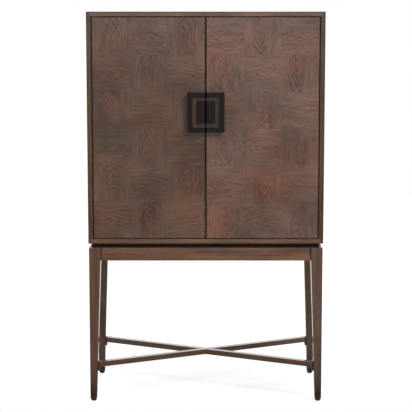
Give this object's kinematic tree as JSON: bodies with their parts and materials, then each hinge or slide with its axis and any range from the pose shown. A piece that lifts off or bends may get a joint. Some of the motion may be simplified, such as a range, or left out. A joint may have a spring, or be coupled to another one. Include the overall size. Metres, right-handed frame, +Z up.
{
  "type": "bar cabinet",
  "caption": "Tall bar cabinet with paired doors in checkered veneer, a split square pull, an open base of tapered legs and crossed stretchers, and an inner shelf that folds out to serve on.",
  "frame": {"origin": "on the floor, under the middle of the cabinet with its pulls", "axes": "+Z up, +X to the viewer's right, the doors face -Y"},
  "size_m": [1.016, 0.536, 1.696],
  "materials": {
    "case_wood": "stained oak, satin lacquer",
    "inside_wood": "stained oak veneer, matte lacquer",
    "door_veneer": "crown-cut oak veneer squares, stained, satin lacquer",
    "base_wood": "stained solid oak, satin lacquer",
    "plinth_wood": "black-brown stain, matte",
    "pull_metal": "black oxide over cast metal, satin",
    "hinge_brass": "oil-darkened, satin",
    "steel": "zinc plated",
    "black_plastic": "moulded, matte"
  },
  "bodies": {
    "cabinet": {"case_top": "case_wood", "case_bottom": "case_wood", "case_left_side": "case_wood", "case_right_side": "case_wood", "back_panel": "inside_wood", "deck": "inside_wood", "centre_divider": "inside_wood", "gallery_shelf": "inside_wood", "left_bearer": "inside_wood", "right_bearer": "inside_wood", "bearer_screws": "steel", "shelf_stop_pegs": "inside_wood", "shelf_pivot_bushes": "hinge_brass", "bottle_rack_shelf": "inside_wood", "bottle_rack_uprights": "inside_wood", "stemware_spacers": "inside_wood", "stemware_runners": "inside_wood", "catch_housing": "black_plastic", "catch_magnets": "steel", "plinth_front_rail": "plinth_wood", "plinth_back_rail": "plinth_wood", "plinth_left_rail": "plinth_wood", "plinth_right_rail": "plinth_wood", "front_apron": "base_wood", "back_apron": "base_wood", "left_apron": "base_wood", "right_apron": "base_wood", "front_left_leg": "base_wood", "front_right_leg": "base_wood", "back_left_leg": "base_wood", "back_right_leg": "base_wood", "rising_stretcher": "base_wood", "falling_stretcher": "base_wood", "stretcher_brackets": "pull_metal", "corner_blocks": "inside_wood", "base_screws": "steel", "foot_glides": "black_plastic", "case_hinge_leaves": "hinge_brass", "case_hinge_screws": "steel", "hinge_pins": "steel", "hinge_washers": "hinge_brass"},
    "left_door": {"left_door_panel": "inside_wood", "left_door_veneer": "door_veneer", "left_door_hinge_leaves": "hinge_brass", "left_door_hinge_screws": "steel", "left_strike_plate": "steel", "left_pull_frame": "pull_metal", "left_pull_block": "pull_metal", "left_pull_screws": "steel"},
    "right_door": {"right_door_panel": "inside_wood", "right_door_veneer": "door_veneer", "right_door_hinge_leaves": "hinge_brass", "right_door_hinge_screws": "steel", "right_strike_plate": "steel", "right_pull_frame": "pull_metal", "right_pull_block": "pull_metal", "right_pull_screws": "steel"},
    "shelf": {"fold_out_shelf": "inside_wood", "shelf_pivot_pins": "steel"}
  },
  "joints": [
    {"name": "left_door_swing", "type": "hinge", "parent": "cabinet", "child": "left_door", "pos_m": [-0.472, -0.238, 0.721], "axis": [0, 0, -1], "range_deg": [0, 110]},
    {"name": "right_door_swing", "type": "hinge", "parent": "cabinet", "child": "right_door", "pos_m": [0.472, -0.238, 0.721], "axis": [0, 0, 1], "range_deg": [0, 110]},
    {"name": "shelf_fold", "type": "hinge", "parent": "cabinet", "child": "shelf", "pos_m": [0, 0.078, 1.0763], "axis": [1, 0, 0], "range_deg": [0, 95]}
  ]
}
